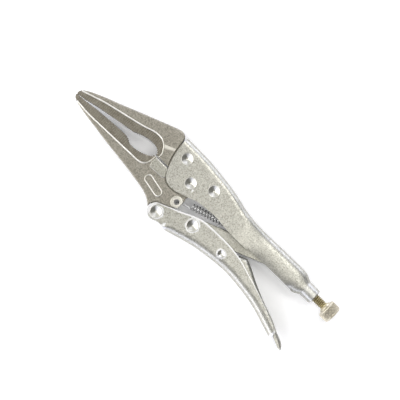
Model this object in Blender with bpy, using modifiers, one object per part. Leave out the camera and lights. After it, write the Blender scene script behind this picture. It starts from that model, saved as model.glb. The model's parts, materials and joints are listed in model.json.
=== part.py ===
"""Long-nose locking pliers, 9 inch size, built as a Blender 4.5 assembly.

The design plane is XY: +X runs along the adjusting screw from the jaws to the knob, +Y goes from the
lower handle to the upper handle, and +Z is the thickness. Design x = 0 is at the jaw pivot, design y = 0
is the screw's axis and design z = 0 is the middle of the thickness. The last step moves the whole tool
so that it lies on z = 0 with its bounding box centred over the origin.
"""

import math

import bmesh
import bpy
from mathutils import Matrix, Vector

MM = 0.001

# ---- driving dimensions, in millimetres -------------------------------------------------------------
JAW_REACH = 96.8            # jaw pivot to the tip of the nose
NOSE_ROOT = 30.0            # the nose starts this far in front of the jaw pivot
DRAWN_REACH = 96.8          # the reach that the jaw outlines are drawn for
HANDLE_WIDTH = 15.0         # outer width of both sheet handles
TUBE_WIDTH = 11.8           # outer width of the upper handle's tubular rear part
SHEET = 2.3                 # sheet thickness of the handles
LEVER_SHEET = 1.6           # sheet thickness of the release lever
SIDE_GAP = 0.3              # play between a piece and the walls beside it
SPINE_BEND = 4.3            # outer bend radius along the upper handle's spine
LOWER_BEND = 3.8            # outer bend radius along the lower handle's spine
JAW_WIDTH = 12.6            # forged jaws at their shoulder
JAW_TIP_WIDTH = 5.2
LINK_WIDTH = 4.4            # thickness of the toggle link
LEVER_EYE = 3.9             # outer radius of the lever round its rivet
LINK_EYE = 5.6              # outer radius of the link at its rivet
LINK_NOSE = 5.3             # radius of the link's nose, which the screw pushes on
LINK_SLOT = (2.4, -1.35)    # how far the link's slot reaches along and across the link
HANDLE_EAR = 6.1            # outer radius of the lower handle's ears
EAR_GAP = 0.8               # room between those ears and the moving jaw
TANG_EYE = 3.4              # wall of the moving jaw's tang round the jaw pivot
TANG_RELIEF = 3.9           # room in the fixed tang round the jaw pivot's shank

RIVET_HEAD = 4.2            # radii of the large rivets
RIVET_SHANK = 3.1
SMALL_HEAD = 2.6            # radii of the release lever's rivet
SMALL_SHANK = 1.7
DIMPLE_DEPTH = 2.4
HOLE_GAP = 0.3              # radial play of a rivet in its holes

SCREW_RADIUS = 3.05
SCREW_GAP = 0.3
SCREW_HOLE = (61.0, 123.0)  # the screw's way through the upper handle, with room to advance
SLEEVE_RADIUS = 5.5
SLEEVE_START = 102.5
SLEEVE_END = 112.6
KNOB_RADIUS = 6.7
KNOB_START = 121.3
KNOB_LENGTH = 9.0
KNOB_END_WALL = 2.0         # the knob's closed end, behind the screw's stub
THRUST_GAP = 0.3            # room at the ends of the screw

SPRING_WIRE = 0.85          # wire diameter
SPRING_RADIUS = 2.1         # mean coil radius
SPRING_PITCH = 1.6

JAW_PIVOT = (0.0, -2.7)
HANDLE_PIVOT = (-3.7, -32.3)
LINK_PIVOT = (20.3, -22.1)
LINK_NOSE_CENTRE = (77.0, 0.0)
LEVER_PIVOT = (47.2, -22.4)
FRONT_RIVET = (-12.9, 7.4)
REAR_RIVET = (14.9, 4.3)
SPRING_HOLE = (1.9, -18.2)
SPRING_HOLE_RADIUS = 1.9
SPRING_FRONT = (11.2, -13.3)
SPRING_REAR = (44.2, -3.4)
TAB_X = 46.4
TAB_SHEET = 1.6             # the lanced tab that holds the spring's rear hook
TAB_WIDTH = 4.8
TAB_HOLE = 1.0

HANDLE_INNER = HANDLE_WIDTH - 2 * SHEET
TANG_WIDTH = HANDLE_INNER - 2 * SIDE_GAP
LEVER_WIDTH = HANDLE_INNER - 2 * SIDE_GAP
LEVER_LIFT = 1.1            # the lever's edges stand this far above the lower handle's floor
LEVER_BEND = 2.6            # outer bend radius along the lever's spine
DEEP = 60.0                 # cutters reach this far past what they cut

# ---- outlines, in millimetres -----------------------------------------------------------------------
UPPER_SPINE = [(-24.0, 17.7), (-10.0, 17.3), (0.0, 16.8), (10.0, 15.7), (20.0, 14.4), (30.0, 12.4),
               (38.0, 10.3), (46.0, 9.0), (56.0, 8.2), (70.0, 8.3), (92.0, 8.3), (98.0, 7.9),
               (101.5, 6.4), (104.5, 5.4)]
LOWER_SPINE = [(4.0, -38.0), (7.9, -37.4), (15.0, -35.7), (20.0, -34.3), (30.0, -31.7), (40.0, -30.4),
               (50.0, -29.4), (57.5, -29.1), (65.0, -29.6), (72.0, -30.5), (80.0, -31.7), (90.0, -34.1),
               (100.0, -37.4), (111.0, -41.2)]
LEVER_SPINE = [(56.5, -15.1), (60.0, -14.0), (62.5, -13.0), (65.0, -13.8), (71.3, -16.8), (80.0, -21.3),
               (90.0, -25.8), (100.0, -29.4), (105.0, -31.6), (110.0, -34.2), (115.0, -36.2),
               (118.2, -38.0), (121.0, -40.6)]


def arc(centre, radius, start, end, step=20.0):
    """Points along a circle from one angle to another, in degrees."""
    count = max(1, round(abs(end - start) / step))
    angles = [math.radians(start + (end - start) * i / count) for i in range(count + 1)]
    return [(centre[0] + radius * math.cos(a), centre[1] + radius * math.sin(a)) for a in angles]


def smooth(points, spans=3):
    """A Catmull-Rom curve through the points."""
    ends = [points[0], *points, points[-1]]
    curve = []
    for a, b, c, d in zip(ends, ends[1:], ends[2:], ends[3:]):
        for i in range(spans):
            t = i / spans
            curve.append(tuple(
                0.5 * (2 * q + (r - p) * t + (2 * p - 5 * q + 4 * r - s) * t * t
                       + (3 * q - p - 3 * r + s) * t ** 3)
                for p, q, r, s in zip(a, b, c, d)))
    return [*curve, points[-1]]


# ---- scene helpers ----------------------------------------------------------------------------------
def clear_scene():
    for obj in list(bpy.data.objects):
        bpy.data.objects.remove(obj)


def new_collection(name):
    group = bpy.data.collections.new(name)
    bpy.context.scene.collection.children.link(group)
    return group


def axis_empty(name, point, parent=None):
    """An empty on a joint's axis. Pieces that move on the joint are its children."""
    empty = bpy.data.objects.new(name, None)
    empty.empty_display_size = 5 * MM
    PIECES.objects.link(empty)
    here = Vector((point[0] * MM, point[1] * MM, 0.0))
    there = AXES[parent][0] if parent else Vector()
    empty.location = here - there
    if parent:
        empty.parent = AXES[parent][1]
    AXES[name] = (here, empty)
    return empty


def add_mesh(name, mesh, group):
    obj = bpy.data.objects.new(name, mesh)
    group.objects.link(obj)
    return obj


def hang(obj, axis):
    """Give a mesh its origin on an axis and make it a child of that axis's empty."""
    here, empty = AXES[axis]
    obj.data.transform(Matrix.Translation(-here) @ obj.matrix_basis)
    obj.matrix_basis = Matrix()
    obj.parent = empty
    return obj


def material(name, colour, metallic, roughness):
    made = bpy.data.materials.new(name)
    made.use_nodes = True
    shader = made.node_tree.nodes["Principled BSDF"]
    shader.inputs["Base Color"].default_value = (*colour, 1.0)
    shader.inputs["Metallic"].default_value = metallic
    shader.inputs["Roughness"].default_value = roughness
    made.diffuse_color = (*colour, 1.0)
    return made


def finish_piece(obj, name, axis, look):
    obj.name = name
    obj.data.name = name
    obj.data.materials.clear()
    obj.data.materials.append(look)
    return hang(obj, axis)


# ---- solid helpers ----------------------------------------------------------------------------------
def curve_to_mesh(curve_obj, group):
    """Turn a curve object into a closed mesh object, with its caps welded."""
    bpy.context.view_layer.update()
    evaluated = curve_obj.evaluated_get(bpy.context.evaluated_depsgraph_get())
    mesh = bpy.data.meshes.new_from_object(evaluated)
    work = bmesh.new()
    work.from_mesh(mesh)
    bmesh.ops.remove_doubles(work, verts=work.verts, dist=0.005 * MM)
    bmesh.ops.recalc_face_normals(work, faces=work.faces)
    work.to_mesh(mesh)
    work.free()
    obj = add_mesh(curve_obj.name, mesh, group)
    obj.matrix_world = curve_obj.matrix_world
    bpy.data.objects.remove(curve_obj)
    return obj


def plate(name, outline, width, group, side_view=False):
    """A flat outline extruded to a width, centred on the design plane. side_view stands it along XZ."""
    curve = bpy.data.curves.new(name, "CURVE")
    curve.dimensions = "2D"
    curve.fill_mode = "BOTH"
    curve.extrude = width / 2 * MM
    line = curve.splines.new("POLY")
    line.points.add(len(outline) - 1)
    for point, (x, y) in zip(line.points, outline):
        point.co = (x * MM, y * MM, 0.0, 1.0)
    line.use_cyclic_u = True
    obj = bpy.data.objects.new(name, curve)
    group.objects.link(obj)
    if side_view:
        obj.rotation_euler = (math.radians(90.0), 0.0, 0.0)
    made = curve_to_mesh(obj, group)
    made.data.transform(made.matrix_basis)
    made.matrix_basis = Matrix()
    return made


def disc(name, centre, radius, width, segments=28):
    bpy.ops.mesh.primitive_cylinder_add(vertices=segments, radius=radius * MM, depth=width * MM,
                                        location=(centre[0] * MM, centre[1] * MM, 0.0))
    return as_cutter(bpy.context.object, name)


def block(name, low, high):
    """A box between two corners, each (x, y, z) in millimetres."""
    middle = [(a + b) / 2 * MM for a, b in zip(low, high)]
    bpy.ops.mesh.primitive_cube_add(size=1.0, location=middle)
    box = bpy.context.object
    box.scale = [(b - a) * MM for a, b in zip(low, high)]
    return as_cutter(box, name)


def as_cutter(obj, name):
    obj.name = name
    obj.data.transform(obj.matrix_basis)
    obj.matrix_basis = Matrix()
    for group in obj.users_collection:
        group.objects.unlink(obj)
    CUTTERS.objects.link(obj)
    obj.hide_render = True
    obj.display_type = "WIRE"
    return obj


def combine(obj, operation, tool):
    """Run one exact Boolean and keep its result, so that later steps can move the mesh."""
    step = obj.modifiers.new(operation.lower(), "BOOLEAN")
    step.operation = operation
    step.object = tool
    step.solver = "EXACT"
    bpy.context.view_layer.update()
    result = bpy.data.meshes.new_from_object(obj.evaluated_get(bpy.context.evaluated_depsgraph_get()))
    obj.modifiers.remove(step)
    obj.data = result
    return obj


def channel(name, spine, half_widths, bend, depth, sheet, group):
    """A U-section lofted along X: an open sheet with walls and a bent spine, then Solidify.

    spine is (x, y) of the outer spine; half_widths and bend are functions of x; depth is the y that
    both walls run to, on the open side of the section.
    """
    mesh = bpy.data.meshes.new(name)
    work = bmesh.new()
    rows = []
    for x, y in spine:
        half = half_widths(x)
        radius = min(bend(x), half - 0.05)
        side = 1.0 if depth < y else -1.0
        corner = arc((half - radius, 0.0), radius, 0.0, 90.0, 22.5)
        section = [(half, depth), *((z, y + side * (rise - radius)) for z, rise in corner)]
        section += [(-z, height) for z, height in reversed(section)]
        rows.append([work.verts.new((x * MM, height * MM, z * MM)) for z, height in section])
    for row, following in zip(rows, rows[1:]):
        for a, b, c, d in zip(row, row[1:], following[1:], following):
            work.faces.new((d, c, b, a) if depth < spine[0][1] else (a, b, c, d))
    work.normal_update()
    work.to_mesh(mesh)
    work.free()
    obj = add_mesh(name, mesh, group)
    shell = obj.modifiers.new("sheet", "SOLIDIFY")
    shell.thickness = sheet * MM
    shell.offset = -1.0
    shell.use_even_offset = True
    bpy.context.view_layer.update()
    solid = bpy.data.meshes.new_from_object(obj.evaluated_get(bpy.context.evaluated_depsgraph_get()))
    obj.modifiers.clear()
    obj.data = solid
    return obj


def turned(name, profile, look, segments=28):
    """A closed (radius, height) profile turned about Z with a Screw modifier."""
    mesh = bpy.data.meshes.new(name)
    edges = [(i, i + 1) for i in range(len(profile) - 1)]
    mesh.from_pydata([(r * MM, 0.0, h * MM) for r, h in profile], edges, [])
    obj = add_mesh(name, mesh, PIECES)
    mesh.materials.append(look)
    lathe = obj.modifiers.new("lathe", "SCREW")
    lathe.axis = "Z"
    lathe.steps = segments
    lathe.render_steps = segments
    lathe.use_merge_vertices = True
    lathe.merge_threshold = 0.00001
    return obj


# ---- pieces -----------------------------------------------------------------------------------------
def upper_half_width(x):
    """Half the outer width of the upper handle: flat walls in front, a narrower tube behind."""
    wide, narrow = HANDLE_WIDTH / 2, TUBE_WIDTH / 2
    blend = min(1.0, max(0.0, (x - 52.0) / 12.0))
    return wide + (narrow - wide) * blend * blend * (3 - 2 * blend)


def make_upper_handle():
    body = channel("upper_handle", smooth(UPPER_SPINE, 2), upper_half_width, lambda x: SPINE_BEND, -16.0,
                   SHEET, PIECES)
    front = [(-22.3, 17.2), (-21.9, 10.0), (-21.2, 5.7), (-20.2, 1.0), (-18.1, -5.2), (-16.7, -8.6),
             (-15.0, -11.0), (-12.6, -12.9), (-9.3, -13.9), (-5.5, -13.9), (-1.7, -12.9), (5.5, -10.7),
             (10.2, -9.0), (15.0, -8.1), (20.2, -7.6), (30.0, -7.3), (38.0, -8.4), (46.0, -8.7)]
    outline = [(-22.3, 30.0), *smooth(front, 2), (57.0, -8.7), (58.2, -7.4), (95.5, -7.4), (97.5, -8.2),
               (103.0, -6.0), (104.2, -5.6), (104.2, 30.0)]
    combine(body, "INTERSECT", as_cutter(plate("upper_blank", outline, DEEP, CUTTERS), "upper_blank"))
    tab = block("spring_tab_blank", (TAB_X - TAB_SHEET / 2, -5.0, -TAB_WIDTH / 2),
                (TAB_X + TAB_SHEET / 2, 8.0, TAB_WIDTH / 2))
    combine(body, "UNION", tab)
    combine(body, "UNION", make_sleeve())
    bpy.ops.mesh.primitive_cylinder_add(vertices=32, radius=(SCREW_RADIUS + SCREW_GAP) * MM,
                                        depth=(SCREW_HOLE[1] - SCREW_HOLE[0]) * MM,
                                        rotation=(0.0, math.radians(90.0), 0.0),
                                        location=(sum(SCREW_HOLE) / 2 * MM, 0.0, 0.0))
    combine(body, "DIFFERENCE", as_cutter(bpy.context.object, "screw_hole"))
    for centre in (FRONT_RIVET, REAR_RIVET, JAW_PIVOT):
        combine(body, "DIFFERENCE", disc("wall_hole", centre, RIVET_HEAD + HOLE_GAP, DEEP))
    bpy.ops.mesh.primitive_cylinder_add(vertices=12, radius=TAB_HOLE * MM, depth=6 * MM,
                                        rotation=(0.0, math.radians(90.0), 0.0),
                                        location=(TAB_X * MM, (SPRING_REAR[1] + 0.5) * MM, 0.0))
    combine(body, "DIFFERENCE", as_cutter(bpy.context.object, "tab_hole"))
    return finish_piece(body, "upper_handle", "tool", STEEL)


def make_sleeve():
    """The threaded sleeve that ends the upper handle, before its hole is cut."""
    bpy.ops.mesh.primitive_cylinder_add(vertices=32, radius=SLEEVE_RADIUS * MM,
                                        depth=(SLEEVE_END - SLEEVE_START) * MM,
                                        rotation=(0.0, math.radians(90.0), 0.0),
                                        location=((SLEEVE_START + SLEEVE_END) / 2 * MM, 0.0, 0.0))
    return as_cutter(bpy.context.object, "sleeve_blank")


def stretched(points):
    """Jaw outline points with the nose made longer or shorter to suit JAW_REACH."""
    factor = (JAW_REACH - NOSE_ROOT) / (DRAWN_REACH - NOSE_ROOT)
    return [(x if x > -NOSE_ROOT else (x + NOSE_ROOT) * factor - NOSE_ROOT, y) for x, y in points]


def jaw_thickness(name):
    """The side view shared by both jaws: thin at the tip, full width at the shoulder."""
    tip, full = JAW_TIP_WIDTH / 2, JAW_WIDTH / 2
    edge = smooth([(-JAW_REACH - 3.0, tip), (-60.0, (tip + full) / 2 + 0.2), (-30.0, full)], 4)
    outline = [*edge, (12.0, full), (12.0, -full), *((x, -z) for x, z in reversed(edge))]
    return as_cutter(plate(name, outline, 2 * DEEP, CUTTERS, side_view=True), name)


def make_fixed_jaw():
    outer = smooth([(-95.7, -8.3), (-92.6, -6.2), (-88.4, -4.1), (-70.0, 3.0), (-50.0, 10.6),
                    (-32.0, 17.2)], 2)
    peak = [(-29.5, 18.1), (-27.3, 18.5), (-25.2, 17.9), (-23.2, 15.6)]
    shoulder = [(-22.6, 10.0), (-21.9, 5.7), (-20.9, 1.0), (-18.8, -5.1)]
    grip = [(-28.0, -5.15), *smooth([(-30.2, -3.6), (-32.6, -1.5), (-35.0, -0.6), (-40.0, -0.7),
                                     (-45.7, -2.0), (-52.0, -4.6)], 2)]
    nose = [(-70.0, -7.4), (-88.0, -10.7), (-95.6, -11.95), (-96.8, -10.9)]
    outline = stretched([*outer, *peak, *shoulder, *grip, *nose])
    body = plate("fixed_jaw", outline, DEEP, PIECES)
    combine(body, "INTERSECT", jaw_thickness("fixed_jaw_side"))
    relief = arc(JAW_PIVOT, RIVET_SHANK + TANG_RELIEF, 28.0, 200.0)
    tang = [(-26.0, 12.2), (-10.0, 12.2), (6.0, 11.2), (16.8, 9.3), *arc(REAR_RIVET, 5.4, 60.0, -110.0),
            *relief, (-7.4, -5.15), (-26.0, -5.15)]
    combine(body, "UNION", as_cutter(plate("fixed_tang", tang, TANG_WIDTH, CUTTERS), "fixed_tang"))
    for centre in (FRONT_RIVET, REAR_RIVET):
        combine(body, "DIFFERENCE", disc("tang_hole", centre, RIVET_SHANK + HOLE_GAP, DEEP))
    return finish_piece(body, "fixed_jaw", "tool", FORGED)


def make_moving_jaw():
    tip = [(-96.9, -12.3), (-96.5, -13.2), (-94.7, -15.4), (-91.0, -17.0)]
    outer = smooth([(-80.0, -18.9), (-60.0, -22.0), (-40.0, -24.6), (-22.0, -27.5), (-14.5, -30.2),
                    (-10.6, -33.3)], 2)
    ear = arc(HANDLE_PIVOT, HANDLE_EAR + EAR_GAP, 190.0, 128.0)
    below_handle = [(-3.6, -25.3), (0.0, -23.8), (5.3, -21.4)]
    under_wall = [(5.3, -13.3), (-1.5, -13.7), (-5.5, -14.6), (-9.5, -14.6), (-13.0, -13.6),
                  (-15.7, -11.6), (-17.5, -9.0), (-18.8, -5.95)]
    grip = [(-29.3, -5.95), *smooth([(-31.0, -7.3), (-36.3, -10.4), (-43.0, -12.2), (-48.4, -12.3),
                                     (-53.6, -9.7)], 2)]
    nose = [(-70.0, -10.2), (-80.0, -10.9), (-90.0, -12.1)]
    outline = stretched([*tip, *outer, *ear, *below_handle, *under_wall, *grip, *nose])
    body = plate("moving_jaw", outline, DEEP, PIECES)
    combine(body, "INTERSECT", jaw_thickness("moving_jaw_side"))
    tang = [(-24.0, -5.95), (-6.2, -5.95), *arc(JAW_PIVOT, RIVET_SHANK + TANG_EYE, 200.0, -35.0),
            (5.3, -10.0), *arc(HANDLE_PIVOT, HANDLE_EAR - 0.1, 20.0, -140.0), (-9.5, -32.0),
            (-12.0, -26.0), (-24.0, -20.0)]
    combine(body, "UNION", as_cutter(plate("moving_tang", tang, TANG_WIDTH, CUTTERS), "moving_tang"))
    for centre in (JAW_PIVOT, HANDLE_PIVOT):
        combine(body, "DIFFERENCE", disc("jaw_hole", centre, RIVET_SHANK + HOLE_GAP, DEEP))
    combine(body, "DIFFERENCE", disc("spring_hole", SPRING_HOLE, SPRING_HOLE_RADIUS, DEEP, 20))
    slot = block("spring_slot", (SPRING_HOLE[0], SPRING_HOLE[1] - 0.6, -1.1),
                 (12.0, SPRING_HOLE[1] + 3.0, 1.1))
    combine(body, "DIFFERENCE", slot)
    return finish_piece(body, "moving_jaw", "jaw_axis", FORGED)


def make_lower_handle():
    half = HANDLE_WIDTH / 2
    body = channel("lower_handle", smooth(LOWER_SPINE, 2), lambda x: half, lambda x: LOWER_BEND, -8.0,
                   SHEET, PIECES)
    top = [(-6.9, -27.3), (-3.6, -26.0), (3.1, -22.9), (12.6, -18.8), (17.4, -16.6), (22.1, -15.0),
           (27.0, -14.35), (40.0, -14.2), (50.0, -14.7), (60.0, -16.5), (70.0, -19.7), (80.0, -22.9),
           (90.0, -26.6), (105.0, -32.8), (109.0, -35.6), (110.0, -38.2)]
    outline = [*reversed(smooth(top, 2)), *arc(HANDLE_PIVOT, HANDLE_EAR, 128.0, 290.0), (1.7, -36.9),
               (6.6, -36.7), (6.9, -50.0), (109.4, -50.0), (109.4, -40.6)]
    ears = [*reversed(smooth(top[:4], 2)), *arc(HANDLE_PIVOT, HANDLE_EAR, 128.0, 290.0), (1.7, -36.9),
            (6.6, -36.7), (9.0, -33.0)]
    combine(body, "INTERSECT", as_cutter(plate("lower_blank", outline, DEEP, CUTTERS), "lower_blank"))
    combine(body, "UNION", as_cutter(plate("lower_ears", ears, HANDLE_WIDTH, CUTTERS), "lower_ears"))
    gap = block("ear_gap", (-DEEP, -45.0, -HANDLE_INNER / 2), (7.4, 0.0, HANDLE_INNER / 2))
    combine(body, "DIFFERENCE", gap)
    throat = block("throat", (-DEEP, -33.6, -HANDLE_INNER / 2), (13.0, 0.0, HANDLE_INNER / 2))
    combine(body, "DIFFERENCE", throat)
    for centre, radius in ((HANDLE_PIVOT, RIVET_HEAD), (LINK_PIVOT, RIVET_HEAD),
                           (LEVER_PIVOT, SMALL_HEAD)):
        combine(body, "DIFFERENCE", disc("wall_hole", centre, radius + HOLE_GAP, DEEP))
    return finish_piece(body, "lower_handle", "handle_axis", STEEL)


def make_toggle_link():
    """A flat link: a round eye on the rivet, a round nose against the screw and straight sides."""
    run = Vector(LINK_NOSE_CENTRE) - Vector(LINK_PIVOT)
    lean = math.degrees(math.atan2(run.y, run.x))
    outline = [*arc(LINK_PIVOT, LINK_EYE, lean + 90.0, lean + 270.0),
               *arc(LINK_NOSE_CENTRE, LINK_NOSE, lean - 90.0, lean + 90.0)]
    body = plate("toggle_link", outline, LINK_WIDTH, PIECES)
    along = run.normalized()
    across = Vector((-along.y, along.x))
    far = Vector(LINK_PIVOT) + along * LINK_SLOT[0] + across * LINK_SLOT[1]
    reach = RIVET_SHANK + 2 * HOLE_GAP
    turn = math.degrees(math.atan2(far.y - LINK_PIVOT[1], far.x - LINK_PIVOT[0]))
    slot = [*arc(LINK_PIVOT, reach, turn + 90.0, turn + 270.0), *arc(far, reach, turn - 90.0, turn + 90.0)]
    combine(body, "DIFFERENCE", as_cutter(plate("link_slot", slot, DEEP, CUTTERS), "link_slot"))
    return finish_piece(body, "toggle_link", "link_axis", STEEL)


def make_release_lever():
    half = LEVER_WIDTH / 2
    body = channel("release_lever", smooth(LEVER_SPINE, 2), lambda x: half, lambda x: LEVER_BEND, -48.0,
                   LEVER_SHEET, PIECES)
    floor = [(x, y + SHEET + LEVER_LIFT) for x, y in LOWER_SPINE if 55.0 < x < 105.0]
    under = [(50.0, -25.7), *smooth(floor, 2), (109.9, -37.0)]
    tail = [(112.3, -39.2), (117.5, -41.3), *arc((119.4, -41.6), 0.9, -100.0, 0.0), (120.3, -40.3),
            (120.3, -20.0)]
    outline = [*arc(LEVER_PIVOT, LEVER_EYE, 100.0, 290.0), *under, *tail, (56.0, -10.0), (56.0, -15.6),
               (52.0, -17.4)]
    ears = [*arc(LEVER_PIVOT, LEVER_EYE, 100.0, 290.0), (50.0, -25.7), (60.0, -25.7), (60.0, -15.1),
            (57.0, -15.1), (52.0, -17.4)]
    combine(body, "INTERSECT", as_cutter(plate("lever_blank", outline, DEEP, CUTTERS), "lever_blank"))
    combine(body, "UNION", as_cutter(plate("lever_ears", ears, LEVER_WIDTH, CUTTERS), "lever_ears"))
    inner = half - LEVER_SHEET
    combine(body, "DIFFERENCE", block("lever_gap", (30.0, -45.0, -inner), (57.2, 0.0, inner)))
    combine(body, "DIFFERENCE", block("lever_throat", (30.0, -45.0, -inner), (64.0, -16.6, inner)))
    combine(body, "DIFFERENCE", disc("lever_hole", LEVER_PIVOT, SMALL_SHANK + HOLE_GAP, DEEP))
    return finish_piece(body, "release_lever", "lever_axis", STEEL)


def make_rivet(name, centre, axis, head=RIVET_HEAD, shank=RIVET_SHANK, dimple=DIMPLE_DEPTH):
    """A rivet set flush with both walls, with a cup dimple at each end."""
    face = HANDLE_WIDTH / 2
    inside = HANDLE_INNER / 2
    half_profile = [(0.0, face - dimple), (head * 0.3, face - dimple), (head * 0.86, face), (head, face),
                    (head, inside + 0.8), (shank, inside - 0.05)]
    profile = [*half_profile, *((r, -h) for r, h in reversed(half_profile))]
    rivet = turned(name, profile, STEEL)
    here = AXES[axis][0]
    rivet.parent = AXES[axis][1]
    rivet.location = Vector((centre[0] * MM, centre[1] * MM, 0.0)) - here
    return rivet


def make_screw():
    """The adjusting screw from its tip at the link's nose to the stub inside the knob."""
    tip = LINK_NOSE_CENTRE[0] + LINK_NOSE + THRUST_GAP
    r = SCREW_RADIUS
    shoulder = KNOB_START - THRUST_GAP
    stub = KNOB_START + KNOB_LENGTH - KNOB_END_WALL - THRUST_GAP
    profile = [(0.0, tip), (r - 0.8, tip), (r, tip + 0.8), (r, shoulder), (r - 0.6, shoulder),
               (r - 0.6, stub), (0.0, stub)]
    return lay_along_x(turned("adjusting_screw", profile[::-1], BRASSY, 24), "screw_axis")


def make_knob():
    r, start = KNOB_RADIUS, KNOB_START
    end = start + KNOB_LENGTH
    bore = SCREW_RADIUS - 0.3
    profile = [(bore, start), (r - 2.4, start), (r - 1.2, start + 1.6), (r, start + 2.6), (r, end - 1.2),
               (r - 1.2, end), (0.0, end), (0.0, end - KNOB_END_WALL), (bore, end - KNOB_END_WALL),
               (bore, start)]
    return lay_along_x(turned("adjusting_knob", profile[::-1], KNURLED, 32), "screw_axis")


def lay_along_x(obj, axis):
    """Turn a lathe-made piece from Z to X; its origin stays on the screw's axis."""
    obj.rotation_euler = (0.0, math.radians(90.0), 0.0)
    here, empty = AXES[axis]
    obj.parent = empty
    obj.location = -here
    return obj


def spring_route():
    """Hook in the jaw's hole, coils, then a hook through the handle's tab."""
    start, end = Vector((*SPRING_FRONT, 0.0)), Vector((*SPRING_REAR, 0.0))
    along = (end - start).normalized()
    up = Vector((-along.y, along.x, 0.0))
    side = Vector((0.0, 0.0, 1.0))
    turns = round((end - start).length / SPRING_PITCH)
    steps = 8
    hole = Vector((*SPRING_HOLE, 0.0))
    route = [hole + Vector((-0.1, 0.1, 0.0)), Vector((5.4, -16.5, 0.0)), Vector((9.3, -15.0, 0.0))]
    for i in range(turns * steps + 1):
        angle = 2 * math.pi * i / steps - math.pi / 2
        centre = start + (end - start) * i / (turns * steps)
        route.append(centre + SPRING_RADIUS * (math.cos(angle) * side + math.sin(angle) * up))
    route += [end + Vector((0.9, 0.4, 0.0)), Vector((TAB_X + 1.7, SPRING_REAR[1] + 0.5, 0.0))]
    return route


def make_return_spring():
    curve = bpy.data.curves.new("return_spring", "CURVE")
    curve.dimensions = "3D"
    curve.bevel_depth = SPRING_WIRE / 2 * MM
    curve.bevel_resolution = 2
    curve.use_fill_caps = True
    route = spring_route()
    line = curve.splines.new("POLY")
    line.points.add(len(route) - 1)
    for point, place in zip(line.points, route):
        point.co = (*(place * MM), 1.0)
    obj = bpy.data.objects.new("return_spring", curve)
    PIECES.objects.link(obj)
    return finish_piece(curve_to_mesh(obj, PIECES), "return_spring", "tool", WIRE)


def stand_on_floor():
    """Move the tool so that its box's bottom centre is at the world's origin."""
    bpy.context.view_layer.update()
    graph = bpy.context.evaluated_depsgraph_get()
    points = [obj.matrix_world @ vertex.co for obj in PIECES.objects if obj.type == "MESH"
              for vertex in obj.evaluated_get(graph).data.vertices]
    low = Vector(min(p[i] for p in points) for i in range(3))
    high = Vector(max(p[i] for p in points) for i in range(3))
    shift = Vector((-(low.x + high.x) / 2, -(low.y + high.y) / 2, -low.z))
    AXES["tool"][1].location = shift
    for cutter in CUTTERS.objects:
        cutter.parent = AXES["tool"][1]
    bpy.context.view_layer.update()
    print("design origin is at", [round(v / MM, 3) for v in shift], "mm")


clear_scene()
PIECES = new_collection("locking_pliers")
CUTTERS = new_collection("cutters")
AXES = {}
STEEL = material("satin_nickel_steel", (0.62, 0.60, 0.55), 0.9, 0.42)
FORGED = material("forged_nickel_jaw", (0.56, 0.54, 0.48), 0.9, 0.45)
BRASSY = material("yellow_zinc_screw", (0.47, 0.40, 0.24), 0.9, 0.4)
KNURLED = material("knurled_zinc_knob", (0.52, 0.50, 0.42), 0.9, 0.42)
WIRE = material("spring_wire", (0.70, 0.69, 0.66), 0.95, 0.3)

axis_empty("tool", (0.0, 0.0))
axis_empty("jaw_axis", JAW_PIVOT, "tool")
axis_empty("handle_axis", HANDLE_PIVOT, "jaw_axis")
axis_empty("lever_axis", LEVER_PIVOT, "handle_axis")
axis_empty("link_axis", LINK_NOSE_CENTRE, "tool")
axis_empty("screw_axis", (KNOB_START, 0.0), "tool")

make_upper_handle()
make_fixed_jaw()
make_moving_jaw()
make_lower_handle()
make_toggle_link()
make_release_lever()
make_screw()
make_knob()
make_return_spring()
make_rivet("front_jaw_rivet", FRONT_RIVET, "tool")
make_rivet("rear_jaw_rivet", REAR_RIVET, "tool")
make_rivet("jaw_pivot_rivet", JAW_PIVOT, "tool")
make_rivet("handle_pivot_rivet", HANDLE_PIVOT, "handle_axis")
make_rivet("link_pivot_rivet", LINK_PIVOT, "handle_axis")
make_rivet("lever_pivot_rivet", LEVER_PIVOT, "handle_axis", SMALL_HEAD, SMALL_SHANK, 1.2)
stand_on_floor()
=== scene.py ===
"""Looks for the long-nose locking pliers: detailed pieces, materials, light and camera.

Lengths are in millimetres in the design plane: x runs along the adjusting screw from the jaw pivot,
y is measured from the screw's axis toward the upper handle, and z from the middle of the thickness.
place() turns such a point into the frame's metres.
"""

import json
import math

import bmesh
import bpy
import numpy as np
from mathutils import Matrix, Vector


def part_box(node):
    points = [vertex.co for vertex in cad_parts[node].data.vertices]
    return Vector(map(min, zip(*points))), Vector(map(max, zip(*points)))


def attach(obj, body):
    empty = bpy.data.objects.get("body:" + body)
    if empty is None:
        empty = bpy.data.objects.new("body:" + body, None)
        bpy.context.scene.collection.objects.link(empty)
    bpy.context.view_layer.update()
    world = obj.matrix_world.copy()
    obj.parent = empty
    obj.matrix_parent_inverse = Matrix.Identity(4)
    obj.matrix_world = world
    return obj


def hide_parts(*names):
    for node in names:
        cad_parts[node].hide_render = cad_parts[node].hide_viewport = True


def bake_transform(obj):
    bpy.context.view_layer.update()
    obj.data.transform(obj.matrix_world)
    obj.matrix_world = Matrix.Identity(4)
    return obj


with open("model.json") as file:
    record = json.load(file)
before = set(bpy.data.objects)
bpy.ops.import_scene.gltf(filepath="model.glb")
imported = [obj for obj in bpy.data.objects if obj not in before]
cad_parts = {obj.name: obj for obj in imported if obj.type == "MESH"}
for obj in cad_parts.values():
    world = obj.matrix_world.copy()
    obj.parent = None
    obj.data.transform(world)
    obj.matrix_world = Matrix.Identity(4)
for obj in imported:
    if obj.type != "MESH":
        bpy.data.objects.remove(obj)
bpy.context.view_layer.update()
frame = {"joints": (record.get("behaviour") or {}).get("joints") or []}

MM = 0.001
JOINTS = {joint["name"]: joint for joint in frame["joints"]}
SCREW_AXIS = Vector(JOINTS["link_swing"]["pos_m"])
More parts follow.
